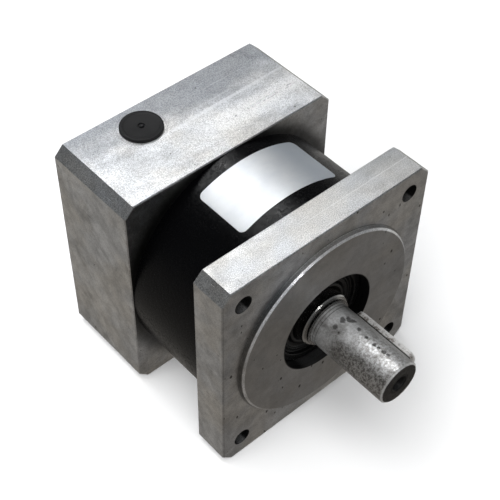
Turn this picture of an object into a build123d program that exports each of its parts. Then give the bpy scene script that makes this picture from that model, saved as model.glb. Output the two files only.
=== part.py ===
"""Single-stage planetary gearbox on an 86 mm frame, lying on its side, in millimetres.

The gearbox axis is Y and Z is up. The origin is on the axis, in the mounting face of the output flange.
The output shaft points to -Y and the motor side to +Y. A depth is measured behind the mounting face.
"""

from build123d import *
from math import acos, cos, degrees, pi, radians, sin, tan
import os

os.makedirs("parts", exist_ok=True)

# Case. The ring gear, its wall and the margin around it give the square frame of an 86 mm motor.
ring_wall = 9.3
frame_margin = 0.5
corner_chamfer = 3.5
edge_break = 0.35
flange_thickness = 13.0
ring_exposed_length = 32.3
housing_length = 37.1

# Mounting pattern, the same on the output flange and on the motor side
mounting_edge_distance = 8.2
mounting_hole_radius = 3.2
motor_thread_radius = 2.5
motor_thread_depth = 15.0

# Output pilot and motor pilot
pilot_margin = 6.5
pilot_height = 2.0
pilot_chamfer = 0.7
motor_pilot_play = 0.05
motor_pilot_depth = 2.5

# Output shaft
shaft_radius = 8.0
shaft_reach = 34.1
shaft_end_chamfer = 0.7
neck_radius = 9.0
neck_length = 1.2
collar_radius = 10.0
collar_reach = 1.1
collar_chamfer = 0.4
centre_hole_radius = 2.1
centre_hole_mouth_radius = 3.1
centre_hole_depth = 12.5
centre_hole_angle = 60

# Parallel key, sunk in the shaft by half of its height
key_width = 5.0
key_height = 5.0
key_length = 25.0
key_end_gap = 3.0
key_edge_break = 0.25
keyway_depth = 2.5

# Oil seal
seal_radius = 19.0
seal_width = 7.0
seal_recess = 4.2
seal_rim = 2.6
seal_dish = 1.1
seal_to_bearing = 1.4

# Sealed ball bearings. Their bores follow the journals that run in them.
front_bearing_radius = 16.0
front_bearing_width = 7.0
rear_bearing_radius = 23.5
rear_bearing_width = 9.0
input_bearing_radius = 18.5
input_bearing_width = 7.0
bearing_spacing = 1.0
bearing_lip_width = 1.0
bearing_lip_height = 2.0

# Gears. The pressure angle and the stub height keep the nine-tooth sun free of undercut.
gear_module = 0.8
pressure_angle = 25.0
sun_teeth = 9
planet_teeth = 36
planet_count = 3
addendum_share = 0.8
dedendum_share = 1.0
backlash = 0.14
planet_width = 10.0
large_gear_flank_runs = 1
sun_flank_runs = 3

# Planet carrier
carrier_journal_radius = 15.0
carrier_edge_gap = 0.76
carrier_bearing_gap = 0.8
carrier_plate_thickness = 4.6
rear_plate_thickness = 4.0
planet_side_gap = 0.4
pin_radius = 4.0
pin_seat_depth = 3.6
pillar_radius = 4.2
pillar_edge_distance = 1.6
sun_passage_radius = 6.2
sun_neck_radius = 5.2
sun_neck_gap = 0.2
carrier_rear_gap = 1.0

# Input hub and clamp
motor_shaft_radius = 7.0
hub_radius = 12.5
hub_front_wall = 1.6
hub_bearing_step = 2.0
hub_end_gap = 0.9
hub_slot_width = 1.5
hub_slot_length = 17.0
clamp_chamber_radius = 26.0
clamp_chamber_gap = 2.2
collar_outer_radius = 22.0
collar_width = 12.0
collar_end_gap = 1.2
collar_slot_width = 2.0
clamp_screw_offset = 15.8
clamp_screw_seat_height = 8.0
clamp_screw_length = 18.0

# Tie screws that hold flange, ring and block together
tie_angle = 36.4
tie_ring_cover = 4.6
tie_thread_depth = 9.0
tie_head_depth = 7.9

# Socket head screws of the clamp and the ties, both of one size
screw_radius = 2.5
screw_head_radius = 4.25
screw_head_height = 5.0
screw_socket_width = 4.0
screw_socket_depth = 2.5
screw_hole_play = 0.15
screw_head_play = 0.5
screw_tip_gap = 0.5

# Access plug
plug_stem_radius = 6.0
plug_stem_length = 5.0
plug_head_radius = 7.3
plug_head_height = 1.2
plug_rim_chamfer = 0.4

# Blank label on the ring
label_width = 43.0
label_length = 21.5
label_offset = 1.2
label_front_gap = 4.9
label_thickness = 0.15
label_corner_radius = 2.5

# Clearances
seat_play = 0.02
running_play = 0.05
spigot_length = 3.0
spigot_wall = 1.7

# Depths that follow, from the output side to the motor side
neck_front = -collar_reach - neck_length
ring_back = flange_thickness + ring_exposed_length
housing_back = ring_back + housing_length
seal_front = seal_recess - pilot_height
seal_back = seal_front + seal_width
front_bearing_front = seal_back + seal_to_bearing
front_bearing_back = front_bearing_front + front_bearing_width
rear_bearing_front = front_bearing_back + bearing_spacing
rear_bearing_back = rear_bearing_front + rear_bearing_width
carrier_plate_front = rear_bearing_back + carrier_bearing_gap
carrier_plate_back = carrier_plate_front + carrier_plate_thickness
planet_front = carrier_plate_back + planet_side_gap
planet_back = planet_front + planet_width
neck_start = planet_back + planet_side_gap + sun_neck_gap
rear_plate_front = planet_back + planet_side_gap
rear_plate_back = rear_plate_front + rear_plate_thickness
hub_front = rear_plate_back + carrier_rear_gap
motor_bore_front = hub_front + hub_front_wall
input_bearing_front = hub_front + hub_bearing_step
input_lip_front = input_bearing_front - bearing_lip_width
input_bearing_back = input_bearing_front + input_bearing_width
clamp_chamber_front = input_bearing_back + clamp_chamber_gap
motor_pilot_floor = housing_back - motor_pilot_depth
hub_back = motor_pilot_floor - hub_end_gap
clamp_screw_depth = hub_back - collar_end_gap - collar_width / 2
tie_tip = flange_thickness - tie_thread_depth + screw_tip_gap
tie_head_seat = housing_back - tie_head_depth

# Radii that follow
centre_distance = gear_module * (sun_teeth + planet_teeth) / 2
ring_teeth = sun_teeth + 2 * planet_teeth
tooth_width = pi * gear_module / 2 - backlash / 2
ring_space_width = pi * gear_module / 2 + backlash / 2
ring_tip_radius = gear_module * (ring_teeth / 2 - addendum_share)
ring_root_radius = gear_module * (ring_teeth / 2 + dedendum_share)
ring_spigot_radius = ring_root_radius + spigot_wall
ring_radius = ring_root_radius + ring_wall
carrier_radius = ring_tip_radius - carrier_edge_gap
pillar_circle_radius = carrier_radius - pillar_radius - pillar_edge_distance

# Sizes across the frame that follow
frame_size = 2 * (ring_radius + frame_margin)
pilot_radius = frame_size / 2 - pilot_margin
mounting_spacing = frame_size - 2 * mounting_edge_distance
tie_circle_radius = ring_radius - tie_ring_cover
tie_spacing_x = 2 * tie_circle_radius * cos(radians(tie_angle))
tie_spacing_z = 2 * tie_circle_radius * sin(radians(tie_angle))

# The floor of the keyway, seen from the key: X runs along the shaft towards the case
key_plane = Plane(
    origin=(shaft_radius - keyway_depth, -shaft_reach + key_end_gap + key_length / 2, 0),
    x_dir=(0, 1, 0),
    z_dir=(1, 0, 0),
)


def section(depth):
    """Plane across the axis at a depth, facing the output, with X to the right and Z up."""
    return Plane.XZ.offset(-depth)


def planet_section(depth, angle):
    """Such a plane with its origin on the axis of a planet and its X away from the gearbox axis."""
    outwards = Vector(cos(radians(angle)), 0, sin(radians(angle)))
    return Plane(origin=outwards * centre_distance + Vector(0, depth, 0), x_dir=outwards, z_dir=(0, -1, 0))


def involute(angle):
    """Involute of an angle in radians."""
    return tan(angle) - angle


def half_tooth_angle(radius, teeth, width):
    """Half of the angle that a tooth takes at a radius, in degrees, from its width on the pitch circle."""
    pitch_radius = gear_module * teeth / 2
    pressure = radians(pressure_angle)
    pressure_here = acos(pitch_radius * cos(pressure) / radius)
    return degrees(width / (2 * pitch_radius) + involute(pressure) - involute(pressure_here))


def at_angle(radius, angle):
    """Point of a sketch at a radius and an angle in degrees."""
    return (radius * cos(radians(angle)), radius * sin(radians(angle)))


def gear_sketch(plane, teeth, width, foot_radius, end_radius, first_tooth_angle, flank_runs):
    """Disc with involute teeth. Cut out of a ring, the same outline makes the spaces of inner teeth.

    Each flank is drawn as a few straight runs between points of its involute.
    """
    base_radius = gear_module * teeth / 2 * cos(radians(pressure_angle))
    flank_foot = max(foot_radius, base_radius)
    radii = [flank_foot + (end_radius - flank_foot) * run / flank_runs for run in range(flank_runs + 1)]
    half_angles = [half_tooth_angle(radius, teeth, width) for radius in radii]
    if foot_radius < flank_foot:
        radii.insert(0, foot_radius)
        half_angles.insert(0, half_angles[0])
    corners = []
    for number in range(teeth):
        middle = first_tooth_angle + number * 360 / teeth
        corners += [at_angle(radius, middle - half) for radius, half in zip(radii, half_angles)]
        corners += [at_angle(radius, middle + half) for radius, half in zip(radii[::-1], half_angles[::-1])]
    with BuildSketch(plane) as outline:
        with BuildLine():
            Polyline(*corners, close=True)
        make_face()
    return outline.sketch


def sealed_bearing(front, width, journal_radius, seat_radius):
    """Sealed ball bearing as one closed body: seated in the case, with a journal running in its bore."""
    with BuildPart() as bearing:
        with BuildSketch(section(front + width)):
            Circle(seat_radius - seat_play)
            Circle(journal_radius + running_play, mode=Mode.SUBTRACT)
        extrude(amount=width)
    return bearing.part


def socket_screws(length, *seats):
    """Socket head screws. Each seat is the plane under a head, facing the way that the screw points."""
    with BuildPart() as screws:
        with BuildSketch(*seats):
            Circle(screw_radius)
        extrude(amount=length)
        with BuildSketch(*seats):
            Circle(screw_head_radius)
        extrude(amount=-screw_head_height)
        with BuildSketch(*[seat.offset(-screw_head_height) for seat in seats]):
            RegularPolygon(screw_socket_width / 2, 6, major_radius=False)
        extrude(amount=screw_socket_depth, mode=Mode.SUBTRACT)
    return screws.part


# Output flange: square plate, pilot in front, spigot inside the ring behind, one stepped bore
with BuildPart() as output_flange:
    with BuildSketch(section(flange_thickness)) as flange_outline:
        Rectangle(frame_size, frame_size)
        chamfer(flange_outline.vertices(), corner_chamfer)
    extrude(amount=flange_thickness)
    plate_faces = output_flange.faces().filter_by(Axis.Y)
    chamfer(plate_faces.edges(), edge_break)
    with BuildSketch(section(0)):
        Circle(pilot_radius)
    extrude(amount=pilot_height)
    pilot_rim = output_flange.faces().sort_by(Axis.Y)[0].edges()
    chamfer(pilot_rim, pilot_chamfer)
    with BuildSketch(section(rear_bearing_back)):
        Circle(ring_tip_radius - seat_play)
    extrude(amount=rear_bearing_back - flange_thickness)
    with BuildSketch(Plane.XY):
        with BuildLine():
            Polyline(
                (0, -pilot_height),
                (seal_radius, -pilot_height),
                (seal_radius, seal_back),
                (front_bearing_radius, seal_back),
                (front_bearing_radius, rear_bearing_front),
                (rear_bearing_radius, rear_bearing_front),
                (rear_bearing_radius, rear_bearing_back),
                (0, rear_bearing_back),
                close=True,
            )
        make_face()
    revolve(axis=Axis.Y, mode=Mode.SUBTRACT)
    with BuildSketch(section(0)):
        with GridLocations(mounting_spacing, mounting_spacing, 2, 2):
            Circle(mounting_hole_radius)
    extrude(amount=-flange_thickness, mode=Mode.SUBTRACT)
    with BuildSketch(section(flange_thickness)):
        with GridLocations(tie_spacing_x, tie_spacing_z, 2, 2):
            Circle(screw_radius + seat_play)
    extrude(amount=tie_thread_depth, mode=Mode.SUBTRACT)
output_flange.part.label = "output_flange"
export_step(output_flange.part, "parts/output_flange.step")

# Ring gear: the black middle of the case, with inner teeth broached right through
with BuildPart() as ring_gear:
    with BuildSketch(section(ring_back)):
        Circle(ring_radius)
    extrude(amount=ring_exposed_length)
    with BuildSketch(section(ring_back + spigot_length)):
        Circle(ring_spigot_radius)
    extrude(amount=spigot_length)
    spaces = gear_sketch(
        section(ring_back + spigot_length),
        ring_teeth,
        ring_space_width,
        ring_tip_radius,
        ring_root_radius,
        180 / ring_teeth,
        large_gear_flank_runs,
    )
    extrude(spaces, amount=ring_exposed_length + spigot_length, mode=Mode.SUBTRACT)
    with BuildSketch(section(ring_back + spigot_length)):
        with GridLocations(tie_spacing_x, tie_spacing_z, 2, 2):
            Circle(screw_radius + screw_hole_play)
    extrude(amount=ring_exposed_length + spigot_length, mode=Mode.SUBTRACT)
ring_gear.part.label = "ring_gear"
export_step(ring_gear.part, "parts/ring_gear.step")

# Input housing: square block with the bearing seat, the clamp chamber and the motor pilot
plug_plane = Plane((-clamp_screw_offset, clamp_screw_depth, frame_size / 2))
with BuildPart() as input_housing:
    with BuildSketch(section(housing_back)) as housing_outline:
        Rectangle(frame_size, frame_size)
        chamfer(housing_outline.vertices(), corner_chamfer)
    extrude(amount=housing_length)
    chamfer(input_housing.faces().filter_by(Axis.Y).edges(), edge_break)
    with BuildSketch(Plane.XY):
        with BuildLine():
            Polyline(
                (0, ring_back),
                (ring_spigot_radius + seat_play, ring_back),
                (ring_spigot_radius + seat_play, input_lip_front),
                (input_bearing_radius - bearing_lip_height, input_lip_front),
                (input_bearing_radius - bearing_lip_height, input_bearing_front),
                (input_bearing_radius, input_bearing_front),
                (input_bearing_radius, clamp_chamber_front),
                (clamp_chamber_radius, clamp_chamber_front),
                (clamp_chamber_radius, motor_pilot_floor),
                (pilot_radius + motor_pilot_play, motor_pilot_floor),
                (pilot_radius + motor_pilot_play, housing_back),
                (0, housing_back),
                close=True,
            )
        make_face()
    revolve(axis=Axis.Y, mode=Mode.SUBTRACT)
    with BuildSketch(plug_plane):
        Circle(plug_stem_radius)
    extrude(amount=-frame_size / 2, mode=Mode.SUBTRACT)
    with BuildSketch(section(ring_back)):
        with GridLocations(tie_spacing_x, tie_spacing_z, 2, 2):
            Circle(screw_radius + screw_hole_play)
    extrude(amount=-housing_length, mode=Mode.SUBTRACT)
    with BuildSketch(section(tie_head_seat)):
        with GridLocations(tie_spacing_x, tie_spacing_z, 2, 2):
            Circle(screw_head_radius + screw_head_play)
    extrude(amount=tie_head_seat - housing_back, mode=Mode.SUBTRACT)
    with BuildSketch(section(housing_back)):
        with GridLocations(mounting_spacing, mounting_spacing, 2, 2):
            Circle(motor_thread_radius)
    extrude(amount=motor_thread_depth, mode=Mode.SUBTRACT)
input_housing.part.label = "input_housing"
export_step(input_housing.part, "parts/input_housing.step")

# Tie screws from the motor side into the flange
tie_seats = [
    section(tie_head_seat).shift_origin((x, tie_head_seat, z))
    for x in (-tie_spacing_x / 2, tie_spacing_x / 2)
    for z in (-tie_spacing_z / 2, tie_spacing_z / 2)
]
tie_screws = socket_screws(tie_head_seat - tie_tip, *tie_seats)
tie_screws.label = "tie_screws"
export_step(tie_screws, "parts/tie_screws.step")

# Oil seal: rubber ring with a flat rim and a dished face
with BuildPart() as oil_seal:
    with BuildSketch(Plane.XY):
        with BuildLine():
            Polyline(
                (collar_radius + running_play, seal_front + seal_dish),
                (seal_radius - seal_rim, seal_front + seal_dish),
                (seal_radius - seal_rim, seal_front),
                (seal_radius - seat_play, seal_front),
                (seal_radius - seat_play, seal_back),
                (collar_radius + running_play, seal_back),
                close=True,
            )
        make_face()
    revolve(axis=Axis.Y)
oil_seal.part.label = "oil_seal"
export_step(oil_seal.part, "parts/oil_seal.step")

# Sealed bearings: two for the output, one for the input
front_bearing = sealed_bearing(
    front_bearing_front, front_bearing_width, collar_radius, front_bearing_radius
)
front_bearing.label = "front_bearing"
export_step(front_bearing, "parts/front_bearing.step")

rear_bearing = sealed_bearing(
    rear_bearing_front, rear_bearing_width, carrier_journal_radius, rear_bearing_radius
)
rear_bearing.label = "rear_bearing"
export_step(rear_bearing, "parts/rear_bearing.step")

input_bearing = sealed_bearing(
    input_bearing_front, input_bearing_width, hub_radius, input_bearing_radius
)
input_bearing.label = "input_bearing"
export_step(input_bearing, "parts/input_bearing.step")

# Output carrier: output shaft, front plate and pillars between the planets, in one piece
with BuildPart() as output_carrier:
    with BuildSketch(Plane.XY):
        with BuildLine():
            Polyline(
                (0, -shaft_reach),
                (shaft_radius - shaft_end_chamfer, -shaft_reach),
                (shaft_radius, -shaft_reach + shaft_end_chamfer),
                (shaft_radius, neck_front),
                (neck_radius, neck_front),
                (neck_radius, -collar_reach),
                (collar_radius - collar_chamfer, -collar_reach),
                (collar_radius, -collar_reach + collar_chamfer),
                (collar_radius, rear_bearing_front),
                (carrier_journal_radius, rear_bearing_front),
                (carrier_journal_radius, carrier_plate_front),
                (carrier_radius, carrier_plate_front),
                (carrier_radius, carrier_plate_back),
                (0, carrier_plate_back),
                close=True,
            )
        make_face()
    revolve(axis=Axis.Y)
    with BuildSketch(section(rear_plate_front)):
        with PolarLocations(pillar_circle_radius, planet_count, start_angle=180 / planet_count):
            Circle(pillar_radius)
    extrude(amount=rear_plate_front - carrier_plate_back)
    with BuildSketch(section(carrier_plate_back)):
        with PolarLocations(centre_distance, planet_count):
            Circle(pin_radius + seat_play)
    extrude(amount=pin_seat_depth, mode=Mode.SUBTRACT)
    with BuildSketch(key_plane):
        SlotOverall(key_length, key_width)
    extrude(amount=shaft_radius, mode=Mode.SUBTRACT)
    with Locations(section(-shaft_reach)):
        CounterSinkHole(centre_hole_radius, centre_hole_mouth_radius, centre_hole_depth, centre_hole_angle)
output_carrier.part.label = "output_carrier"
export_step(output_carrier.part, "parts/output_carrier.step")

# Rear plate that closes the carrier on the ends of its pillars
with BuildPart() as rear_carrier_plate:
    with BuildSketch(section(rear_plate_back)):
        Circle(carrier_radius)
        Circle(sun_passage_radius, mode=Mode.SUBTRACT)
        with PolarLocations(centre_distance, planet_count):
            Circle(pin_radius + seat_play, mode=Mode.SUBTRACT)
    extrude(amount=rear_plate_thickness)
rear_carrier_plate.part.label = "rear_carrier_plate"
export_step(rear_carrier_plate.part, "parts/rear_carrier_plate.step")

# Key with round ends, its floor in the keyway
with BuildPart() as shaft_key:
    with BuildSketch(key_plane):
        SlotOverall(key_length - 2 * seat_play, key_width - 2 * seat_play)
    extrude(amount=key_height)
    chamfer(shaft_key.faces().sort_by(Axis.X)[-1].edges(), key_edge_break)
shaft_key.part.label = "shaft_key"
export_step(shaft_key.part, "parts/shaft_key.step")

# Planets. Each pin is pressed into both plates of the carrier and its gear runs on it.
# A tooth space faces the sun, so the first tooth stands half a pitch away.
for number in range(planet_count):
    angle = number * 360 / planet_count
    with BuildPart() as planet_pin:
        with BuildSketch(planet_section(rear_plate_back, angle)):
            Circle(pin_radius)
        extrude(amount=rear_plate_back - carrier_plate_back + pin_seat_depth - seat_play)
    planet_pin.part.label = f"planet_pin_{number + 1}"
    export_step(planet_pin.part, f"parts/planet_pin_{number + 1}.step")

    with BuildPart() as planet_gear:
        teeth = gear_sketch(
            planet_section(planet_back, angle),
            planet_teeth,
            tooth_width,
            gear_module * (planet_teeth / 2 - dedendum_share),
            gear_module * (planet_teeth / 2 + addendum_share),
            180 / planet_teeth,
            large_gear_flank_runs,
        )
        extrude(teeth, amount=planet_width)
        with BuildSketch(planet_section(planet_back, angle)):
            Circle(pin_radius + running_play)
        extrude(amount=planet_width, mode=Mode.SUBTRACT)
    planet_gear.part.label = f"planet_gear_{number + 1}"
    export_step(planet_gear.part, f"parts/planet_gear_{number + 1}.step")

# Input shaft: sun pinion, neck and slotted hub in one piece
with BuildPart() as input_shaft:
    with BuildSketch(Plane.XY):
        with BuildLine():
            Polyline(
                (0, neck_start),
                (sun_neck_radius, neck_start),
                (sun_neck_radius, hub_front),
                (hub_radius, hub_front),
                (hub_radius, hub_back),
                (motor_shaft_radius, hub_back),
                (motor_shaft_radius, motor_bore_front),
                (0, motor_bore_front),
                close=True,
            )
        make_face()
    revolve(axis=Axis.Y)
    sun = gear_sketch(
        section(neck_start),
        sun_teeth,
        tooth_width,
        gear_module * (sun_teeth / 2 - dedendum_share),
        gear_module * (sun_teeth / 2 + addendum_share),
        0,
        sun_flank_runs,
    )
    extrude(sun, amount=neck_start - planet_front)
    with BuildSketch(section(hub_back)):
        Rectangle(2 * hub_radius, hub_slot_width)
    extrude(amount=hub_slot_length, mode=Mode.SUBTRACT)
input_shaft.part.label = "input_shaft"
export_step(input_shaft.part, "parts/input_shaft.step")

# Clamp collar, split on the side of its screw
screw_seat = Plane(
    origin=(-clamp_screw_offset, clamp_screw_depth, clamp_screw_seat_height),
    x_dir=(1, 0, 0),
    z_dir=(0, 0, -1),
)
with BuildPart() as clamp_collar:
    with BuildSketch(section(clamp_screw_depth + collar_width / 2)):
        Circle(collar_outer_radius)
        Circle(hub_radius + seat_play, mode=Mode.SUBTRACT)
        with Locations((-collar_outer_radius, 0)):
            Rectangle(2 * collar_outer_radius, collar_slot_width, mode=Mode.SUBTRACT)
    extrude(amount=collar_width)
    with BuildSketch(screw_seat):
        Circle(screw_head_radius + screw_head_play)
    extrude(amount=-collar_outer_radius, mode=Mode.SUBTRACT)
    with BuildSketch(screw_seat):
        Circle(screw_radius + running_play)
    extrude(amount=clamp_screw_length + screw_tip_gap, mode=Mode.SUBTRACT)
clamp_collar.part.label = "clamp_collar"
export_step(clamp_collar.part, "parts/clamp_collar.step")

clamp_screw = socket_screws(clamp_screw_length, screw_seat)
clamp_screw.label = "clamp_screw"
export_step(clamp_screw, "parts/clamp_screw.step")

# Rubber plug over the way to the clamp screw
with BuildPart() as access_plug:
    with BuildSketch(plug_plane):
        Circle(plug_head_radius)
    extrude(amount=plug_head_height)
    chamfer(access_plug.faces().sort_by(Axis.Z)[-1].edges(), plug_rim_chamfer)
    with BuildSketch(plug_plane):
        Circle(plug_stem_radius - running_play)
    extrude(amount=-plug_stem_length)
access_plug.part.label = "access_plug"
export_step(access_plug.part, "parts/access_plug.step")

# Blank sticker that wraps over the top of the ring
with BuildPart() as blank_label:
    with BuildSketch(section(flange_thickness + label_front_gap + label_length)):
        Circle(ring_radius + seat_play + label_thickness)
        Circle(ring_radius + seat_play, mode=Mode.SUBTRACT)
    extrude(amount=label_length)
    label_plane = Plane((label_offset, flange_thickness + label_front_gap + label_length / 2, 0))
    with BuildSketch(label_plane):
        RectangleRounded(label_width, label_length, label_corner_radius)
    extrude(amount=frame_size, mode=Mode.INTERSECT)
blank_label.part.label = "blank_label"
export_step(blank_label.part, "parts/blank_label.step")
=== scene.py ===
"""Looks of the planetary gearbox: finer rubber parts and label, worn metals, studio light and camera."""

import math

import bmesh
import bpy
from mathutils import Euler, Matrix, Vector


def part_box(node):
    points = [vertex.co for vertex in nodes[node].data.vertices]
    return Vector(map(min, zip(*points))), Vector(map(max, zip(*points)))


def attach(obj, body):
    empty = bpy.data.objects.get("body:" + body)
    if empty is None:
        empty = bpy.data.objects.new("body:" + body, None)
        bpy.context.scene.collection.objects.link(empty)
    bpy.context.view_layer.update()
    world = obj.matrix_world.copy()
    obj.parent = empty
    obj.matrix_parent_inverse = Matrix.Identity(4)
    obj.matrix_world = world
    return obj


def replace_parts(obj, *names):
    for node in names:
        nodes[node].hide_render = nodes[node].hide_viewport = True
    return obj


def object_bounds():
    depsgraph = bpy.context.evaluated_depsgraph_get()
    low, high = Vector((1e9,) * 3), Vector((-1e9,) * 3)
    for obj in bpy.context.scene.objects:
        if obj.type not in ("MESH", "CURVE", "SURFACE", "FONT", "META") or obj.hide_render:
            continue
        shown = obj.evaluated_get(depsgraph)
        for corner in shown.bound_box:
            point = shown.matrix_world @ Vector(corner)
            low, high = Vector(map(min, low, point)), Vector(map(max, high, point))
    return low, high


MM = 0.001
NO_SHIFT = (0.0, 0.0, 0.0)

# Sizes and places of the solids that the looks follow
CORNER_HOLE_PLACE = 34.8 * MM
PILOT_RADIUS = 36.5 * MM
SEAL_BORE_RADIUS = 19.0 * MM
SHAFT_RADIUS = 8.0 * MM
FRAME_HALF_WIDTH = 43.0 * MM
JOURNAL_START = -2.5 * MM
SHAFT_GROOVES = (-2.35 * MM, -3.3 * MM, -4.4 * MM)
EDGE_BREAK = 0.14 * MM

# Camera of the photograph, worked out from the straight edges and round holes of the object
CAMERA_PLACE = Vector((-174.8, -157.3, 293.2)) * MM
CAMERA_AZIMUTH = -42.1
CAMERA_ELEVATION = 48.08
CAMERA_ROLL = 1.04
CAMERA_LENS = 82.95

# Colours that come back in several materials
WHITE = (1.0, 1.0, 1.0)
# Dark lines of dirt and painted shade
DIRT_AND_SHADE = (0.05, 0.047, 0.045)
PIT = (0.04, 0.037, 0.033)
# Painted shade inside holes
HOLE_SHADE = (0.008, 0.008, 0.008)

# Dark stains on the shaft, read from the photograph. Each one gives its place along the axis in mm,
# its angle round the axis in degrees and its radius in mm.
SHAFT_STAINS = (
    (-8.7, 94.0, 1.15), (-9.3, 80.0, 0.95), (-10.3, 84.0, 0.8), (-11.2, 76.0, 0.95), (-8.6, 118.0, 1.0),
    (-14.7, 84.0, 0.9), (-18.5, 87.0, 0.6), (-22.2, 89.0, 0.75), (-23.9, 88.0, 0.5), (-26.0, 88.0, 0.75),
    (-27.8, 86.5, 0.6),
)

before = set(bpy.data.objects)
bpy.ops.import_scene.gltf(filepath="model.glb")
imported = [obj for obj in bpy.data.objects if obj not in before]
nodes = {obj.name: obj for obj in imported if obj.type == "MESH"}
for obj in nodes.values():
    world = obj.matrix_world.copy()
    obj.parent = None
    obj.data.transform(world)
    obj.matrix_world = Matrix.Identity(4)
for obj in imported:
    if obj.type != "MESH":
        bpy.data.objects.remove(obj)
cad_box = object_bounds()


# Camera


def aim(azimuth, elevation, roll=0.0):
    """Rotation of a camera or lamp that stands at this azimuth and elevation and looks at the object."""
    a = math.radians(azimuth)
    e = math.radians(elevation)
    back = Vector((math.sin(a) * math.cos(e), -math.cos(a) * math.cos(e), math.sin(e)))
    return (-back).to_track_quat("-Z", "Y") @ Euler((0, 0, math.radians(roll))).to_quaternion()


def add_camera():
    """Camera at the photograph's place, with its whole frame in view."""
    data = bpy.data.cameras.new("camera")
    data.lens = CAMERA_LENS
    data.clip_start = 1 * MM
    camera = bpy.data.objects.new("camera", data)
    camera.location = CAMERA_PLACE
    camera.rotation_mode = "QUATERNION"
    camera.rotation_quaternion = aim(CAMERA_AZIMUTH, CAMERA_ELEVATION, CAMERA_ROLL)
    bpy.context.scene.collection.objects.link(camera)
    bpy.context.scene.camera = camera


add_camera()


# Materials


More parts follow.
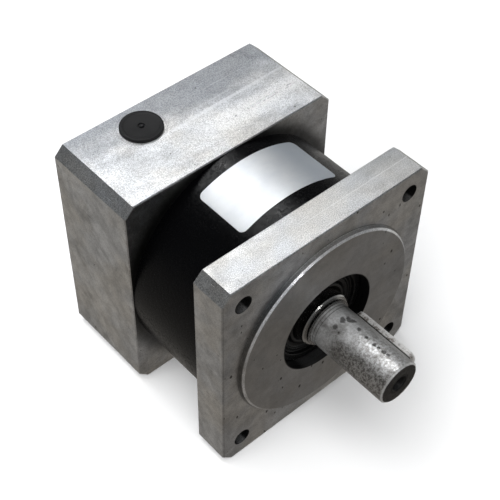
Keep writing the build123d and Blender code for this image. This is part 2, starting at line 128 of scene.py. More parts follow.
class Shading:
    """Node tree of one material: its shader, and short calls for the nodes that feed it."""

    def __init__(self, name, **sockets):
        self.material = bpy.data.materials.new(name)
        self.material.use_nodes = True
        self.tree = self.material.node_tree
        self.shader = self.tree.nodes["Principled BSDF"]
        self.coordinates = self.tree.nodes.new("ShaderNodeTexCoord")
        self.set(**sockets)

    def feed(self, socket, value):
        if isinstance(value, bpy.types.NodeSocket):
            self.tree.links.new(value, socket)
        else:
            socket.default_value = value

    def set(self, **sockets):
        """Shader sockets by name, with _ for a space."""
        for name, value in sockets.items():
            self.feed(self.shader.inputs[name.replace("_", " ")], value)

    def math(self, operation, first, second=0.0, clamp=False):
        node = self.tree.nodes.new("ShaderNodeMath")
        node.operation = operation
        node.use_clamp = clamp
        self.feed(node.inputs[0], first)
        self.feed(node.inputs[1], second)
        return node.outputs[0]

    def times(self, first, *others):
        """Product of two or more values."""
        for other in others:
            first = self.math("MULTIPLY", first, other)
        return first

    def plus(self, first, second):
        return self.math("ADD", first, second)

    def minus(self, first, second):
        return self.math("SUBTRACT", first, second)

    def span(self, value, low, high, to_low=0.0, to_high=1.0):
        """Value from low to high, brought smoothly to another range."""
        node = self.tree.nodes.new("ShaderNodeMapRange")
        node.interpolation_type = "SMOOTHSTEP"
        self.feed(node.inputs["Value"], value)
        for name, number in zip(("From Min", "From Max", "To Min", "To Max"), (low, high, to_low, to_high)):
            node.inputs[name].default_value = number
        return node.outputs["Result"]

    def fade(self, value, low, high):
        """1 where the value is under low, 0 where it is over high."""
        return self.span(value, low, high, 1.0, 0.0)

    def mapped(self, scale, shift, turn=None):
        """Place on the object, scaled by one number or by three for X, Y and Z. It may be turned first."""
        mapping = self.tree.nodes.new("ShaderNodeMapping")
        self.feed(mapping.inputs["Vector"], self.coordinates.outputs["Object"])
        scale = scale if isinstance(scale, tuple) else (scale,) * 3
        if turn:
            mapping.vector_type = "TEXTURE"
            mapping.inputs["Rotation"].default_value = [math.radians(angle) for angle in turn]
            scale = [1 / number for number in scale]
        mapping.inputs["Scale"].default_value = scale
        mapping.inputs["Location"].default_value = shift
        return mapping.outputs["Vector"]

    def noise(self, scale, detail=4.0, roughness=0.55, shift=NO_SHIFT, distortion=0.0, turn=None):
        """Noise with its scale in features per metre."""
        node = self.tree.nodes.new("ShaderNodeTexNoise")
        self.feed(node.inputs["Vector"], self.mapped(scale, shift, turn))
        node.inputs["Scale"].default_value = 1.0
        node.inputs["Detail"].default_value = detail
        node.inputs["Roughness"].default_value = roughness
        node.inputs["Distortion"].default_value = distortion
        return node.outputs["Fac"]

    def specks(self, scale, size, shift=NO_SHIFT):
        """Round specks scattered at random, 1 at their middle. Size is in cells of the scale."""
        node = self.tree.nodes.new("ShaderNodeTexVoronoi")
        self.feed(node.inputs["Vector"], self.mapped(scale, shift))
        node.inputs["Scale"].default_value = 1.0
        share = self.math("DIVIDE", node.outputs["Distance"], self.math("MAXIMUM", size, 0.001))
        return self.span(self.math("SUBTRACT", 1.0, share, clamp=True), 0.0, 0.4)

    def mix(self, share, first, second):
        """Colour from first to second by a share."""
        node = self.tree.nodes.new("ShaderNodeMix")
        node.data_type = "RGBA"
        self.feed(node.inputs["Factor"], share)
        for socket, value in ((node.inputs[6], first), (node.inputs[7], second)):
            self.feed(socket, value if isinstance(value, bpy.types.NodeSocket) else (*value, 1.0))
        return node.outputs[2]

    def over(self, tone, colour, *shares):
        """Colour laid over a tone by the product of the shares."""
        return self.mix(self.times(*shares), tone, colour)

    def scaled(self, colour, factor):
        """Colour times a number."""
        node = self.tree.nodes.new("ShaderNodeMix")
        node.data_type = "RGBA"
        node.blend_type = "MULTIPLY"
        node.inputs["Factor"].default_value = 1.0
        self.feed(node.inputs[6], colour)
        self.feed(node.inputs[7], factor)
        return node.outputs[2]

    def line(self, value, middle, half_width):
        """Soft line where a value passes its middle."""
        return self.fade(self.math("ABSOLUTE", self.minus(value, middle)), 0.0, half_width)

    def distance_to(self, point):
        """Distance from a point in metres."""
        node = self.tree.nodes.new("ShaderNodeVectorMath")
        node.operation = "DISTANCE"
        self.feed(node.inputs[0], self.coordinates.outputs["Object"])
        node.inputs[1].default_value = point
        return node.outputs["Value"]

    def along(self, axis):
        """Place along X, Y or Z in metres."""
        node = self.tree.nodes.new("ShaderNodeSeparateXYZ")
        self.feed(node.inputs[0], self.coordinates.outputs["Object"])
        return node.outputs[axis]

    def facing(self, axis):
        """How far the surface faces along X, Y or Z, from -1 to 1."""
        node = self.tree.nodes.new("ShaderNodeSeparateXYZ")
        self.feed(node.inputs[0], self.coordinates.outputs["Normal"])
        return node.outputs[axis]

    def length(self, first, second):
        """Length of a vector with two parts."""
        return self.math("SQRT", self.plus(self.times(first, first), self.times(second, second)))

    def from_axis(self):
        """Distance from the gearbox axis in metres."""
        return self.length(self.along("X"), self.along("Z"))

    def in_corner_holes(self):
        """1 inside the four holes at the corners of the frame, 0 outside."""
        from_hole = [
            self.minus(self.math("ABSOLUTE", self.along(axis)), CORNER_HOLE_PLACE)
            for axis in ("X", "Z")
        ]
        return self.fade(self.length(*from_hole), 3.15 * MM, 3.3 * MM)

    def on_front(self):
        """1 on faces that look to the front, 0 on the others."""
        return self.fade(self.facing("Y"), -0.9, -0.7)

    def bump(self, *layers):
        """Bump from pairs of a height and its depth in metres, one on the other."""
        normal = None
        for height, depth in layers:
            node = self.tree.nodes.new("ShaderNodeBump")
            node.inputs["Distance"].default_value = depth
            self.feed(node.inputs["Height"], height)
            if normal:
                self.feed(node.inputs["Normal"], normal)
            normal = node.outputs["Normal"]
        self.feed(self.shader.inputs["Normal"], normal)


def bare_aluminium(name, shift):
    """Shading of bare milled aluminium and its plain tone, with cloudy stains and slanting rub marks."""
    light, dark, rub_grey = (0.82, 0.82, 0.82), (0.63, 0.625, 0.615), (0.5, 0.49, 0.48)
    warm, cool = (0.92, 0.88, 0.8), (0.78, 0.85, 0.95)
    s = Shading(name)
    clouds = s.noise((34.0, 55.0, 42.0), detail=5.0, shift=shift)
    rubbed = s.noise((70.0, 34.0, 210.0), detail=5.0, roughness=0.6, shift=shift, turn=(42.0, 0.0, 0.0))
    tint = s.noise(45.0, detail=3.0, shift=shift)
    tone = s.mix(s.span(clouds, 0.32, 0.68), dark, light)
    tone = s.mix(s.span(rubbed, 0.42, 0.66, 0.0, 0.6), tone, rub_grey)
    tone = s.mix(0.22, tone, s.mix(s.span(tint, 0.38, 0.62), warm, cool))
    return s, tone


def milled(s, tone, shift):
    """Adds to a tone the sparkling grain, tarnish, the lines along the width on top with painted highlights
    on some, scratches and pits.
    """
    streak_highlight_white, scratch_grey = (0.97, 0.98, 1.0), (0.16, 0.155, 0.15)
    upwards = s.span(s.facing("Z"), 0.8, 0.95)
    smudges = s.noise((90.0, 120.0, 60.0), detail=7.0, roughness=0.68, shift=shift, distortion=0.8)
    grain = s.span(s.noise(3000.0, detail=1.5, roughness=0.6, shift=shift), 0.28, 0.72, -1.0, 1.0)
    lines = s.span(s.noise((7.0, 900.0, 900.0), detail=3.0, roughness=0.7, shift=shift), 0.3, 0.7, -1.0, 1.0)
    streaks = s.span(s.noise((3.5, 190.0, 190.0), detail=4.0, roughness=0.7, shift=shift), 0.56, 0.68)
    streaks = s.times(upwards, streaks)
    scratches = s.span(s.noise((1500.0, 75.0, 1500.0), detail=1.0, shift=shift), 0.69, 0.75)
    scratches = s.times(scratches, s.span(smudges, 0.5, 0.6))
    pits = s.specks(270.0, s.span(s.noise(95.0, shift=shift), 0.48, 0.72, 0.0, 0.17), shift)
    tarnish = s.span(s.noise(230.0, detail=7.0, roughness=0.72, shift=shift), 0.34, 0.66, -1.0, 0.85)
    tarnish = s.times(tarnish, s.span(s.facing("Z"), 0.3, 0.6, 0.16, 0.05))
    sparkle = s.times(grain, s.span(s.facing("Z"), 0.3, 0.6, 0.16, 0.34))

    tone = s.scaled(tone, s.span(smudges, 0.48, 0.75, 1.0, 0.76))
    tone = s.scaled(tone, s.plus(1.0, tarnish))
    tone = s.scaled(tone, s.plus(1.0, sparkle))
    # Painted highlight along some lines on top
    tone = s.over(tone, streak_highlight_white, streaks, 0.5)
    tone = s.over(tone, scratch_grey, scratches, 0.5)
    tone = s.over(tone, PIT, pits, 0.85)
    rough = s.plus(s.span(smudges, 0.35, 0.75, 0.38, 0.47), s.times(lines, 0.03))
    rough = s.minus(rough, s.times(streaks, 0.08))
    metal = s.minus(1.0, s.times(upwards, 0.32))
    layers = (
        (grain, 0.005 * MM),
        (s.times(lines, upwards), 0.002 * MM),
        (pits, -0.1 * MM),
        (scratches, -0.03 * MM),
    )
    return tone, rough, metal, layers


def block_aluminium():
    """The input block. Its top has a painted highlight streak, painted shade at the back and a faint painted
    shadow round the plug.
    """
    shift = (3.1, 1.7, 5.3)
    shade_grey, plug_shadow_grey, ring_shade_black = (0.32, 0.335, 0.36), (0.25, 0.25, 0.26), (0.03, 0.03, 0.03)
    streak_middle, streak_half_width = 57.0 * MM, 6.0 * MM
    plug_shadow_radius, plug_shadow_half_width = 8.4 * MM, 0.3 * MM
    s, tone = bare_aluminium("block_aluminium", shift)
    on_top = s.span(s.facing("Z"), 0.6, 0.9)
    blotches = s.noise((45.0, 60.0, 45.0), detail=5.0, roughness=0.6)
    wavy = s.plus(s.along("Y"), s.span(blotches, 0.3, 0.7, -6.0 * MM, 6.0 * MM))
    wavy = s.plus(wavy, s.times(s.along("X"), 0.06))
    at_front_edge = s.span(wavy, 47.0 * MM, 54.0 * MM, 0.55, 0.0)
    at_front_edge = s.times(at_front_edge, s.span(s.along("X"), 0.0, 26.0 * MM))
    painted_shade_on_top = s.times(on_top, s.plus(s.span(wavy, 57.0 * MM, 77.0 * MM), at_front_edge))
    streak = s.line(s.along("Y"), streak_middle, streak_half_width)
    streak = s.times(streak, s.span(s.along("X"), -14.0 * MM, 16.0 * MM), on_top)
    low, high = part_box("access_plug")
    plug_top = ((low.x + high.x) / 2, (low.y + high.y) / 2, high.z)
    shadow_round_plug = s.line(s.distance_to(plug_top), plug_shadow_radius, plug_shadow_half_width)

    # Painted shade over the back of the top and along its front right edge
    tone = s.over(tone, shade_grey, painted_shade_on_top, 0.88)
    # Painted highlight streak across the top
    tone = s.over(tone, WHITE, streak, 0.9)
    # Painted shadow round the foot of the plug
    tone = s.over(tone, plug_shadow_grey, shadow_round_plug, 0.4)
    tone, rough, metal, layers = milled(s, tone, shift)
    # Painted shade on the front face next to the ring
    shade_near_ring = s.span(s.from_axis(), 43.5 * MM, 50.0 * MM, 0.85, 0.0)
    tone = s.over(tone, ring_shade_black, s.on_front(), shade_near_ring)
    # Painted shade inside the tapped holes
    shaded_tapped_holes = s.times(s.in_corner_holes(), s.span(s.along("Y"), 66.0 * MM, 68.0 * MM))
    tone = s.over(tone, HOLE_SHADE, shaded_tapped_holes, 0.97)
    s.set(Base_Color=tone, Roughness=s.minus(rough, s.times(streak, 0.1)), Metallic=metal)
    s.bump(*layers)
    return s.material


def flange_aluminium():
    """The output flange. Its pilot is turned finer, with dirt and painted shade at its foot and a painted
    highlight on its rim.
    """
    shade_grey, pilot_grey, wall_grey = (0.36, 0.37, 0.38), (0.41, 0.395, 0.38), (0.12, 0.12, 0.12)
    bore_shade_black, rim_highlight_white = (0.02, 0.02, 0.02), (0.9, 0.91, 0.94)
    cutter_line_place, turning_pitch = 6.9 * MM, 0.42 * MM
    s, tone = bare_aluminium("flange_aluminium", NO_SHIFT)
    on_top = s.span(s.facing("Z"), 0.6, 0.9)
    on_front = s.on_front()
    radius = s.from_axis()
    # Painted shade over the right of the top
    painted_shade_on_top = s.times(on_top, s.span(s.along("X"), 2.0 * MM, 34.0 * MM))
    painted_shade_on_top = s.times(painted_shade_on_top, s.span(s.along("Y"), 5.0 * MM, 13.0 * MM, 0.3, 0.8))
    tone = s.mix(painted_shade_on_top, tone, shade_grey)
    tone, rough, metal, layers = milled(s, tone, NO_SHIFT)

    cutter_line = s.line(s.along("Y"), cutter_line_place, 0.2 * MM)
    cutter_line = s.times(cutter_line, s.span(s.along("X"), -20.0 * MM, 10.0 * MM, 0.1, 0.6))
    proud = s.fade(s.along("Y"), -0.5 * MM, -0.2 * MM)
    on_face = s.fade(s.along("Y"), -0.2 * MM, 0.2 * MM)
    ragged = s.span(s.noise(260.0, detail=6.0, roughness=0.7), 0.35, 0.65, 0.35, 1.0)
    foot = s.line(radius, PILOT_RADIUS + 0.2 * MM, 0.45 * MM)
    wall = s.times(s.span(radius, PILOT_RADIUS - 0.2 * MM, PILOT_RADIUS - 0.05 * MM), proud)
    rim = s.times(s.span(radius, PILOT_RADIUS - 0.85 * MM, PILOT_RADIUS - 0.65 * MM), proud)
    rim = s.times(s.math("SUBTRACT", rim, wall, clamp=True), ragged)
    # Where the painted highlight on the rim is strongest: its upper left
    highlit_part = s.times(
        s.span(s.along("X"), 2.0 * MM, 22.0 * MM, 1.0, 0.3),
        s.span(s.along("Z"), 8.0 * MM, 25.0 * MM, 0.3, 1.0),
    )
    rim = s.times(rim, highlit_part)
    pilot = s.times(s.span(radius, PILOT_RADIUS - 0.7 * MM, PILOT_RADIUS - 0.9 * MM), proud)
    turning = s.math("SINE", s.times(radius, 2 * math.pi / turning_pitch))
    nick_size = s.span(s.noise(70.0, shift=(0.3, 0.5, 0.2)), 0.38, 0.62, 0.0, 0.19)
    nicks = s.specks((300.0, 300.0, 190.0), nick_size)
    from_middle = s.math("ABSOLUTE", s.along("X"))
    shaded_edge = s.span(from_middle, FRAME_HALF_WIDTH - 0.7 * MM, FRAME_HALF_WIDTH - 0.25 * MM, 0.0, 0.6)
    # Painted shade inside the bore
    shade_in_bore = s.span(radius, SEAL_BORE_RADIUS, SEAL_BORE_RADIUS + 0.4 * MM, 0.93, 0.0)

    tone = s.over(tone, WHITE, cutter_line, on_top)
    tone = s.over(tone, pilot_grey, pilot, 0.6)
    tone = s.over(tone, PIT, nicks, on_front, 0.85)
    # Painted shade along the side edges of the front; dirt and painted shade at the pilot's foot
    tone = s.over(tone, DIRT_AND_SHADE, shaded_edge, on_front)
    tone = s.over(tone, DIRT_AND_SHADE, foot, on_face, 0.95)
    tone = s.over(tone, wall_grey, wall, ragged, 0.5)
    tone = s.mix(shade_in_bore, tone, bore_shade_black)
    # Painted highlight on the pilot's rim
    tone = s.over(tone, rim_highlight_white, rim, 0.7)
    # Painted shade inside the corner holes
    tone = s.over(tone, HOLE_SHADE, s.in_corner_holes(), 0.97)
    rough = s.minus(s.plus(rough, s.times(pilot, 0.12)), s.times(rim, 0.15))
    s.set(Base_Color=tone, Roughness=rough, Metallic=s.minus(metal, s.times(rim, 0.3)))
    s.bump(*layers, (s.times(turning, pilot), 0.0006 * MM))
    return s.material


def black_ring():
    """Glossy black oxide on turned steel, with a little dust, faint rub marks and frosted patches."""
    black, rub_grey, dust_grey = (0.0006, 0.0006, 0.0008), (0.02, 0.02, 0.022), (0.1, 0.1, 0.1)
    s = Shading("black_oxide_steel", Metallic=0.0, Specular_IOR_Level=0.16)
    turning = s.noise((18.0, 1500.0, 18.0), detail=2.0)
    rubs = s.noise((240.0, 110.0, 240.0), detail=7.0, roughness=0.7, distortion=1.0)
    mottles = s.span(s.noise(900.0, detail=4.0, roughness=0.7), 0.4, 0.6)
    patches = s.span(s.noise(75.0, detail=2.0, shift=(0.2, 0.6, 0.4)), 0.4, 0.6, 0.5, 1.0)
    dust = s.noise(1100.0, detail=8.0, roughness=0.8)
    tone = s.mix(s.span(rubs, 0.62, 0.85, 0.0, 0.12), black, rub_grey)
    tone = s.mix(s.span(dust, 0.7, 0.8, 0.0, 0.3), tone, dust_grey)
    rough = s.plus(s.span(rubs, 0.4, 0.8, 0.13, 0.26), s.span(turning, 0.3, 0.7, 0.0, 0.03))
    s.set(Base_Color=tone, Roughness=s.plus(rough, s.times(mottles, patches, 0.2)))
    s.bump((turning, 0.002 * MM), (rubs, 0.005 * MM), (mottles, 0.014 * MM))
    return s.material


def worn_shaft():
    """Turned steel with a speckled skin, cloudy stains and dark spots, a polished collar and a dark end. Its
    sides and end hole have painted shade, its end edge a painted highlight.
    """
    bright, dull, cloud_brown = (0.92, 0.925, 0.93), (0.45, 0.435, 0.42), (0.17, 0.16, 0.145)
    key_side_shade, journal_grey = (0.16, 0.155, 0.15), (0.5, 0.49, 0.475)
    patina_and_shade_dark, patina_and_shade_light = (0.05, 0.045, 0.04), (0.22, 0.21, 0.195)
    spot_brown, root_brown, edge_white = (0.05, 0.045, 0.042), (0.06, 0.055, 0.05), (0.9, 0.9, 0.89)
    end_brown, hole_shade_black = (0.03, 0.027, 0.025), (0.004, 0.004, 0.004)
    s = Shading("worn_shaft_steel")
    speckle = s.noise(1150.0, detail=6.0, roughness=0.75)
    clouds = s.noise((190.0, 130.0, 190.0), detail=6.0, roughness=0.62, shift=(0.3, 0.1, 0.7))
    turning = s.noise((6.0, 2600.0, 6.0), detail=2.0)
    ragged = s.noise(900.0, detail=4.0, shift=(0.4, 0.8, 0.2))
    spot_size = s.span(s.noise(140.0, detail=2.0, shift=(0.9, 0.2, 0.4)), 0.5, 0.7, 0.0, 0.26)
    spots = s.specks(420.0, spot_size, (0.2, 0.4, 0.1))
    ragged_edge = s.span(ragged, 0.3, 0.7, -0.25 * MM, 0.25 * MM)
    for depth, angle, size in SHAFT_STAINS:
        a = math.radians(angle)
        centre = (SHAFT_RADIUS * math.cos(a), depth * MM, SHAFT_RADIUS * math.sin(a))
        far = s.plus(s.distance_to(centre), ragged_edge)
        spots = s.math("MAXIMUM", spots, s.fade(far, 0.6 * size * MM, 1.15 * size * MM))
    sideways = s.plus(s.facing("X"), s.span(clouds, 0.3, 0.7, 0.12, -0.12))
    patina_and_shade = s.times(s.fade(sideways, -0.85, -0.25), s.span(s.along("Y"), -14.0 * MM, -7.0 * MM, 0.88, 0.45))
    journal = s.span(s.along("Y"), JOURNAL_START, JOURNAL_START + 0.3 * MM)
    end_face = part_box("output_carrier")[0].y
    end = s.fade(s.along("Y"), end_face + 0.02 * MM, end_face + 0.1 * MM)
    edge = s.line(s.along("Y"), end_face + 0.35 * MM, 0.4 * MM)
    near_end = s.fade(s.along("Y"), -20.0 * MM, -19.0 * MM)
    hole = s.times(s.fade(s.from_axis(), 3.7 * MM, 4.2 * MM), near_end)
    root = 0.0
    for groove in SHAFT_GROOVES:
        root = s.math("MAXIMUM", root, s.line(s.along("Y"), groove, 0.3 * MM))

    to_end = s.span(s.along("Y"), -20.0 * MM, -12.0 * MM, 1.0, 0.4)
    tone = s.mix(s.times(s.span(speckle, 0.6, 0.4), to_end), bright, dull)
    tone = s.mix(s.span(clouds, 0.48, 0.68, 0.0, 0.62), tone, cloud_brown)
    # Painted shade on the side towards the key
    tone = s.mix(s.span(sideways, 0.0, 0.7, 0.0, 0.75), tone, key_side_shade)
    # Brown speckled stains with painted shade on the underside
    tone = s.mix(patina_and_shade, tone, s.mix(s.span(speckle, 0.42, 0.58), patina_and_shade_dark, patina_and_shade_light))
    tone = s.mix(journal, tone, journal_grey)
    tone = s.over(tone, spot_brown, spots, 0.8)
    tone = s.over(tone, root_brown, root, 0.65)
    # Painted highlight along the end edge
    tone = s.over(tone, edge_white, edge, 0.5)
    tone = s.over(tone, end_brown, end, 0.96)
    # Painted shade in the hole in the end
    tone = s.over(tone, hole_shade_black, hole, 0.96)
    rough = s.plus(s.span(speckle, 0.35, 0.65, 0.42, 0.29), s.span(clouds, 0.4, 0.7, 0.0, 0.08))
    rough = s.plus(s.minus(rough, s.times(journal, 0.16)), s.times(spots, 0.2))
    metal = s.plus(0.76, s.times(s.math("MAXIMUM", journal, end), 0.24))
    s.set(Base_Color=tone, Roughness=rough, Metallic=metal)
    s.bump((turning, 0.003 * MM), (speckle, 0.01 * MM), (spots, -0.04 * MM))
    return s.material


def worn_key():
    """Ground key steel, bright where it was rubbed, brown between, with painted shade where it meets the
    shaft.
    """
    bright, brown = (0.8, 0.79, 0.77), (0.24, 0.21, 0.185)
    edge_white, gap_shade_black = (0.97, 0.965, 0.95), (0.02, 0.018, 0.016)
    s = Shading("worn_key_steel", Metallic=0.7)
    wear_marks = s.noise((420.0, 520.0, 420.0), detail=9.0, roughness=0.8)
    fine = s.noise((1800.0, 1200.0, 1800.0), detail=3.0)
    height = s.minus(s.from_axis(), SHAFT_RADIUS)
    tone = s.mix(s.span(wear_marks, 0.42, 0.54), brown, bright)
    tone = s.mix(s.span(height, 1.3 * MM, 2.4 * MM, 0.0, 0.7), tone, edge_white)
    # Painted shade in the gap where the key meets the shaft
    tone = s.mix(s.span(height, 0.5 * MM, 1.0 * MM, 0.95, 0.0), tone, gap_shade_black)
    s.set(Base_Color=tone, Roughness=s.span(wear_marks, 0.3, 0.7, 0.5, 0.3))
    s.bump((wear_marks, 0.03 * MM), (fine, 0.006 * MM))
    return s.material


def steel(name, light, dark, roughness):
    """Clean inner steel with fine tool marks and a thin film of oil in patches."""
    s = Shading(name, Metallic=1.0)
    marks = s.noise((90.0, 900.0, 90.0), detail=4.0, roughness=0.65)
    film = s.noise(140.0, detail=4.0)
    marked = s.span(marks, 0.3, 0.7, roughness - 0.06, roughness + 0.08)
    s.set(
        Base_Color=s.mix(s.span(film, 0.35, 0.7), light, dark),
        Roughness=s.plus(marked, s.span(film, 0.4, 0.7, 0.0, -0.05)),
    )
    s.bump((marks, 0.008 * MM))
    return s.material


def rubber(name, shade, gloss_low, gloss_high):
    """Moulded black rubber with fine skin, pale rubs and a little dust."""
    dark, pale, dust_grey = (0.5 * shade, 0.5 * shade, 0.53 * shade), (2 * shade,) * 3, (0.12, 0.115, 0.11)
    s = Shading(name, Specular_IOR_Level=0.3)
    skin = s.noise(2600.0, detail=3.0)
    rubs = s.noise(220.0, detail=7.0, roughness=0.7)
    dust = s.noise(1300.0, detail=8.0, roughness=0.85)
    tone = s.mix(s.span(rubs, 0.5, 0.85, 0.0, 0.35), dark, pale)
    tone = s.mix(s.span(dust, 0.72, 0.86, 0.0, 8 * shade), tone, dust_grey)
    s.set(Base_Color=tone, Roughness=s.span(rubs, 0.3, 0.75, gloss_low, gloss_high))
    s.bump((skin, 0.003 * MM), (rubs, 0.004 * MM))
    return s.material


def label_film():
    """White film with a pearly face, a little grey where it was handled and painted blue-grey shade on its
    far side.
    """
    white, grey, far_side_shade_blue = (0.86, 0.88, 0.9), (0.76, 0.79, 0.83), (0.6, 0.66, 0.73)
    s = Shading("label_vinyl", Metallic=0.85)
    handling = s.noise((110.0, 160.0, 110.0), detail=6.0, roughness=0.65)
    fibres = s.noise((900.0, 1400.0, 900.0), detail=3.0)
    tone = s.mix(s.span(handling, 0.35, 0.75, 0.0, 0.6), white, grey)
    # Painted blue-grey shade on the far side
    tone = s.mix(s.span(s.along("X"), 4.0 * MM, 16.0 * MM, 0.0, 0.7), tone, far_side_shade_blue)
    s.set(Base_Color=tone, Roughness=s.span(handling, 0.3, 0.7, 0.46, 0.52))
    s.bump((handling, 0.04 * MM), (fibres, 0.004 * MM))
    return s.material


def sealed_ring(outer_radius):
    """Bearing body: ground outer ring, with a dark rubber seal inside it."""
    ground, seal_black = (0.55, 0.55, 0.56), (0.02, 0.02, 0.022)
    s = Shading("sealed_bearing_steel")
    wall = 0.072 * outer_radius
    on_face = s.span(s.math("ABSOLUTE", s.facing("Y")), 0.7, 0.9)
    seal = s.times(on_face, s.fade(s.from_axis(), outer_radius - 1.1 * wall, outer_radius - wall))
    marks = s.noise((90.0, 1800.0, 90.0), detail=3.0)
    s.set(
        Base_Color=s.mix(seal, ground, seal_black),
        Metallic=s.minus(1.0, seal),
        Roughness=s.plus(s.span(marks, 0.3, 0.7, 0.2, 0.3), s.times(seal, 0.25)),
    )
    s.bump((marks, 0.004 * MM))
    return s.material


def wear(piece, material):
    """Gives a piece one material."""
    piece.data.materials.clear()
    piece.data.materials.append(material)


# Pieces


def new_piece(name, mesh_data, body, material):
    """Object from a bmesh that rides on a body and wears the given material."""
    mesh = bpy.data.meshes.new(name)
    bmesh.ops.recalc_face_normals(mesh_data, faces=mesh_data.faces)
    mesh_data.to_mesh(mesh)
    mesh_data.free()
    piece = bpy.data.objects.new(name, mesh)
    bpy.context.scene.collection.objects.link(piece)
    wear(piece, material)
    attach(piece, body)
    return piece


def smooth_turning(profile, steps):
    """Profile points with every corner rounded. Each corner is (radius, height, reach of its rounding)."""
    rounded = []
    for index, corner in enumerate(profile):
        here = Vector(corner[:2])
        reach = corner[2]
        if reach == 0:
            rounded.append(here)
            continue
        before = Vector(profile[index - 1][:2])
        after = Vector(profile[(index + 1) % len(profile)][:2])
        start = here + (before - here).normalized() * min(reach, (before - here).length / 2)
        end = here + (after - here).normalized() * min(reach, (after - here).length / 2)
        for step in range(steps + 1):
            share = step / steps
            rounded.append(start * (1 - share) ** 2 + here * (2 * share * (1 - share)) + end * share**2)
    return rounded


def lathe(profile, segments, to_space):
    """Closed body turned from a closed profile. to_space maps (radius, height, angle) to a point."""
    made = bmesh.new()
    rings = [
        [made.verts.new(to_space(radius, height, 2 * math.pi * k / segments)) for k in range(segments)]
        for radius, height in profile
    ]
    for ring, following in zip(rings, rings[1:] + rings[:1]):
        for k in range(segments):
            after = (k + 1) % segments
            made.faces.new((ring[k], ring[after], following[after], following[k])).smooth = True
    return made


def around_gearbox(radius, depth, angle):
    """Point at a radius, depth and angle round the gearbox axis."""
    return (radius * math.cos(angle), depth, radius * math.sin(angle))


def add_seal():
    """Oil seal: rounded rubber rim, dished face with moulded rings, and the lip that runs on the shaft."""
    low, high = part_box("oil_seal")
    outer = high.x
    front = low.y
    back = high.y
    profile = [
        (outer, back, 0.3 * MM),
        (outer, front, 0.5 * MM),
        (outer - 2.6 * MM, front, 0.3 * MM),
        (outer - 2.9 * MM, front + 1.4 * MM, 0.3 * MM),
        (outer - 3.7 * MM, front + 1.4 * MM, 0.2 * MM),
        (outer - 4.0 * MM, front + 0.9 * MM, 0.2 * MM),
        (outer - 4.6 * MM, front + 0.9 * MM, 0.2 * MM),
        (outer - 4.9 * MM, front + 1.5 * MM, 0.3 * MM),
        (outer - 6.4 * MM, front + 1.7 * MM, 0.4 * MM),
        (outer - 7.0 * MM, front + 0.5 * MM, 0.3 * MM),
        (outer - 7.9 * MM, front + 0.4 * MM, 0.3 * MM),
        (outer - 8.93 * MM, front + 1.5 * MM, 0.15 * MM),
        (outer - 8.93 * MM, back, 0.3 * MM),
    ]
    made = lathe(smooth_turning(profile, 4), 160, around_gearbox)
    seal_rubber = rubber("seal_rubber", 0.003, 0.22, 0.36)
    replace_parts(new_piece("oil_seal_rings", made, "housing", seal_rubber), "oil_seal")


def add_plug():
    """Access plug: head with a rounded rim, a shallow dish and a moulding pip, on a stem in the block."""
    low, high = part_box("access_plug")
    centre = (low + high) / 2
    head = (high.x - low.x) / 2
    top = high.z
    dish = top - 0.12 * MM
    pip_ring = top - 0.55 * MM
    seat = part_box("input_housing")[1].z
    stem = head - 1.35 * MM

    def around_plug(radius, height, angle):
        return (centre.x + radius * math.cos(angle), centre.y + radius * math.sin(angle), height)

    profile = [
        (0.0, low.z, 0.0),
        (stem, low.z, 0.6 * MM),
        (stem, seat, 0.05 * MM),
        (head, seat, 0.05 * MM),
        (head, top, 0.35 * MM),
        (head - 1.1 * MM, top - 0.02 * MM, 0.1 * MM),
        (head - 1.5 * MM, dish, 0.15 * MM),
        (1.3 * MM, dish, 0.05 * MM),
        (1.15 * MM, pip_ring, 0.05 * MM),
        (0.85 * MM, pip_ring, 0.05 * MM),
        (0.7 * MM, top, 0.12 * MM),
        (0.0, top, 0.0),
    ]
    made = lathe(smooth_turning(profile, 5), 128, around_plug)
    bmesh.ops.remove_doubles(made, verts=made.verts, dist=0.0001 * MM)
    plug_rubber = rubber("plug_rubber", 0.011, 0.42, 0.55)
    plug = new_piece("access_plug_moulded", made, "access_plug", plug_rubber)
    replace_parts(plug, "access_plug")


def add_label():
    """Bare vinyl label with rounded corners, laid round the top of the ring."""
    air_gap = 0.03 * MM
    thickness = 0.15 * MM
    half_width = 20.0 * MM
    half_length = 10.6 * MM
    corner = 1.9 * MM
    middle = Vector((1.1, 29.3, 0.0)) * MM
    columns = 72
    rows = 24
    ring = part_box("ring_gear")[1].x
    made = bmesh.new()
    sheets = []
    for lift in (air_gap, thickness):
        sheet = []
        for column in range(columns + 1):
            across = -half_width * math.cos(math.pi * column / columns)
            into_corner = max(0.0, abs(across) - (half_width - corner))
            reach = half_length - corner + math.sqrt(max(0.0, corner**2 - into_corner**2))
            x = middle.x + across
            z = math.sqrt((ring + lift) ** 2 - x**2)
            sheet.append([
                made.verts.new((x, middle.y - reach * math.cos(math.pi * row / rows), z))
                for row in range(rows + 1)
            ])
        sheets.append(sheet)
    for sheet in sheets:
        for line, following in zip(sheet, sheet[1:]):
            for row in range(rows):
                made.faces.new((line[row], line[row + 1], following[row + 1], following[row])).smooth = True
    rims = [
        ([line[0] for line in sheet], [line[-1] for line in sheet], sheet[0], sheet[-1])
        for sheet in sheets
    ]
    for under, over in zip(*rims):
        for k in range(len(under) - 1):
            made.faces.new((under[k], under[k + 1], over[k + 1], over[k]))
    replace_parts(new_piece("blank_label_vinyl", made, "housing", label_film()), "blank_label")


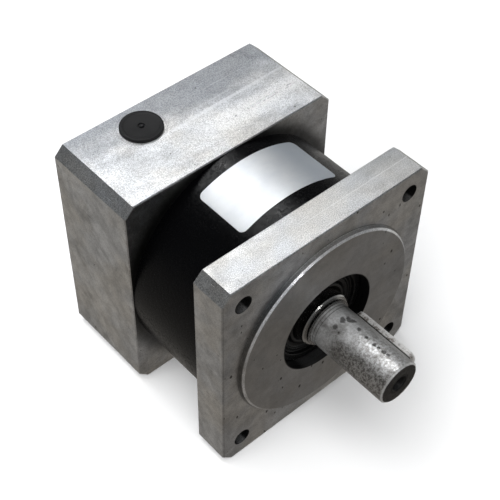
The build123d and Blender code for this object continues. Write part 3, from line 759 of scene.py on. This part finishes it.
def add_thread(name, mouths, radius, pitch, length, body, material):
    """Ridge of an inner thread in holes along Y. A mouth is (x, y, z, way), way 1 if the hole goes to +Y."""
    steps = 32
    root = radius + 0.02 * MM
    crest = radius - 0.27 * pitch
    half_root = 0.45 * pitch
    made = bmesh.new()
    for x, y, z, way in mouths:
        sections = []
        for k in range(int(length / pitch) * steps + 1):
            angle = 2 * math.pi * k / steps
            depth = pitch * (k / steps + 0.5)
            sections.append([
                made.verts.new((x + r * math.cos(angle), y + way * (depth + shift), z + r * math.sin(angle)))
                for r, shift in ((root, -half_root), (crest, 0.0), (root, half_root))
            ])
        for section, following in zip(sections, sections[1:]):
            for a in range(3):
                b = (a + 1) % 3
                made.faces.new((section[a], section[b], following[b], following[a])).smooth = True
        made.faces.new(sections[0])
        made.faces.new(sections[-1])
    new_piece(name, made, body, material)


def soften_edges(node, width):
    """Breaks the sharp edges of a CAD node and shades its turned faces smoothly."""
    weld = node.modifiers.new("weld", "WELD")
    weld.merge_threshold = 0.001 * MM
    bevel = node.modifiers.new("edge_break", "BEVEL")
    bevel.width = width
    bevel.segments = 2
    bevel.limit_method = "ANGLE"
    bevel.angle_limit = math.radians(30)
    bevel.use_clamp_overlap = True
    shading = node.modifiers.new("shading", "WEIGHTED_NORMAL")
    shading.keep_sharp = True


# Light and floor


def add_area_light(name, azimuth, elevation, distance, size, power, colour=WHITE, glossy=True):
    """Lamp that looks at the gearbox. Its size is its width and its height."""
    data = bpy.data.lights.new(name, "AREA")
    data.shape = "RECTANGLE"
    data.size, data.size_y = size
    data.energy = power
    data.color = colour
    lamp = bpy.data.objects.new(name, data)
    lamp.rotation_mode = "QUATERNION"
    lamp.rotation_quaternion = aim(azimuth, elevation)
    lamp.location = lamp.rotation_quaternion @ Vector((0, 0, distance)) + (cad_box[0] + cad_box[1]) / 2
    lamp.visible_glossy = glossy
    bpy.context.scene.collection.objects.link(lamp)


def add_floor():
    """Pale floor under the case. It glows a little far out, where the lamps don't reach."""
    floor_data = bmesh.new()
    bmesh.ops.create_grid(floor_data, x_segments=1, y_segments=1, size=3.0)
    mesh = bpy.data.meshes.new("floor")
    floor_data.to_mesh(mesh)
    floor_data.free()
    floor = bpy.data.objects.new("floor", mesh)
    floor.location.z = cad_box[0].z
    bpy.context.scene.collection.objects.link(floor)
    s = Shading("pale_floor", Specular_IOR_Level=0.2, Emission_Color=(0.95, 0.95, 0.95, 1.0))
    s.set(
        Base_Color=s.mix(s.noise(8.0), (0.9, 0.9, 0.9), (0.93, 0.93, 0.93)),
        Roughness=s.span(s.noise(60.0), 0.3, 0.7, 0.75, 0.85),
        Emission_Strength=s.span(s.distance_to((0.0, 0.0, 0.0)), 0.3, 1.3, 0.0, 0.9),
    )
    wear(floor, s.material)
    floor.visible_glossy = False


def add_lamps():
    """Overhead lamp, small lamps for the glints on the ring and the pilot's rim, and a soft fill."""
    add_area_light("overhead", 170, 58, distance=1.2, size=(0.8, 0.36), power=3.6, colour=(0.98, 0.99, 1.0))
    add_area_light("ring_glint", 157, 56, distance=1.2, size=(0.04, 0.1), power=0.45)
    add_area_light("front_glint_left", -6, 31, distance=1.2, size=(0.05, 0.05), power=0.4)
    add_area_light("front_glint_right", 1, 31, distance=1.2, size=(0.05, 0.05), power=0.4)
    add_area_light("fill", -75, 64, distance=1.5, size=(1.8, 1.8), power=38.0, glossy=False)


def add_surroundings():
    """Grey room that the metal reflects, lighter to the back and the sides. Seen directly it is white."""
    front_grey, back_grey = (0.145, 0.136, 0.127), (0.27, 0.255, 0.235)
    side_grey, ceiling_grey = (0.62, 0.62, 0.61), (0.13, 0.135, 0.14)
    world = bpy.data.worlds.new("studio")
    bpy.context.scene.world = world
    world.use_nodes = True
    tree = world.node_tree
    coordinates = tree.nodes.new("ShaderNodeTexCoord")
    split = tree.nodes.new("ShaderNodeSeparateXYZ")
    tree.links.new(coordinates.outputs["Generated"], split.inputs[0])

    def blend(axis, low, high, first, second):
        """Colour from first to second along an axis of the surroundings."""
        ramp = tree.nodes.new("ShaderNodeMapRange")
        ramp.inputs["From Min"].default_value = low
        ramp.inputs["From Max"].default_value = high
        tree.links.new(split.outputs[axis], ramp.inputs["Value"])
        node = tree.nodes.new("ShaderNodeMix")
        node.data_type = "RGBA"
        tree.links.new(ramp.outputs["Result"], node.inputs["Factor"])
        for socket, value in ((node.inputs[6], first), (node.inputs[7], second)):
            if isinstance(value, tuple):
                socket.default_value = (*value, 1.0)
            else:
                tree.links.new(value, socket)
        return node.outputs[2]

    below = blend("Y", -0.7, 0.5, front_grey, back_grey)
    for axis in "XY":
        below = blend(axis, 0.55, 0.95, below, side_grey)
    reflected = tree.nodes["Background"]
    tree.links.new(blend("Z", -0.25, 0.2, below, ceiling_grey), reflected.inputs["Color"])
    backdrop = tree.nodes.new("ShaderNodeBackground")
    backdrop.inputs["Color"].default_value = (*WHITE, 1.0)
    seen = tree.nodes.new("ShaderNodeMixShader")
    tree.links.new(tree.nodes.new("ShaderNodeLightPath").outputs["Is Camera Ray"], seen.inputs["Fac"])
    tree.links.new(reflected.outputs[0], seen.inputs[1])
    tree.links.new(backdrop.outputs[0], seen.inputs[2])
    tree.links.new(seen.outputs[0], tree.nodes["World Output"].inputs["Surface"])


bpy.context.scene.view_settings.view_transform = "Standard"
add_floor()
add_lamps()
add_surroundings()

gear_steel = steel("gear_steel", (0.42, 0.42, 0.43), (0.3, 0.29, 0.28), 0.3)
ground_steel = steel("ground_steel", (0.6, 0.6, 0.61), (0.5, 0.5, 0.5), 0.2)
black_steel = steel("black_steel", (0.07, 0.07, 0.075), (0.035, 0.035, 0.035), 0.38)
materials = {
    "output_flange": flange_aluminium(),
    "input_housing": block_aluminium(),
    "ring_gear": black_ring(),
    "output_carrier": worn_shaft(),
    "shaft_key": worn_key(),
    "input_shaft": gear_steel,
    "rear_carrier_plate": ground_steel,
    "tie_screws": black_steel,
    "clamp_screw": black_steel,
    "clamp_collar": steel("collar_aluminium", (0.8, 0.8, 0.81), (0.7, 0.7, 0.7), 0.3),
}
for number in (1, 2, 3):
    materials[f"planet_gear_{number}"] = gear_steel
    materials[f"planet_pin_{number}"] = ground_steel
for name in ("front_bearing", "rear_bearing", "input_bearing"):
    materials[name] = sealed_ring(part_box(name)[1].x)
for name, material in materials.items():
    wear(nodes[name], material)
for name in ("output_flange", "input_housing"):
    soften_edges(nodes[name], EDGE_BREAK)

add_seal()
add_plug()
add_label()
block_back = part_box("input_housing")[1].y
corners = (-CORNER_HOLE_PLACE, CORNER_HOLE_PLACE)
add_thread(
    "motor_hole_threads",
    mouths=[(x, block_back, z, -1) for x in corners for z in corners],
    radius=2.5 * MM,
    pitch=1.0 * MM,
    length=15.0 * MM,
    body="housing",
    material=materials["input_housing"],
)
shaft_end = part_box("output_carrier")[0].y
add_thread(
    "shaft_end_thread",
    mouths=[(0.0, shaft_end + 1.7 * MM, 0.0, 1)],
    radius=2.1 * MM,
    pitch=0.8 * MM,
    length=10.0 * MM,
    body="output",
    material=materials["output_carrier"],
)
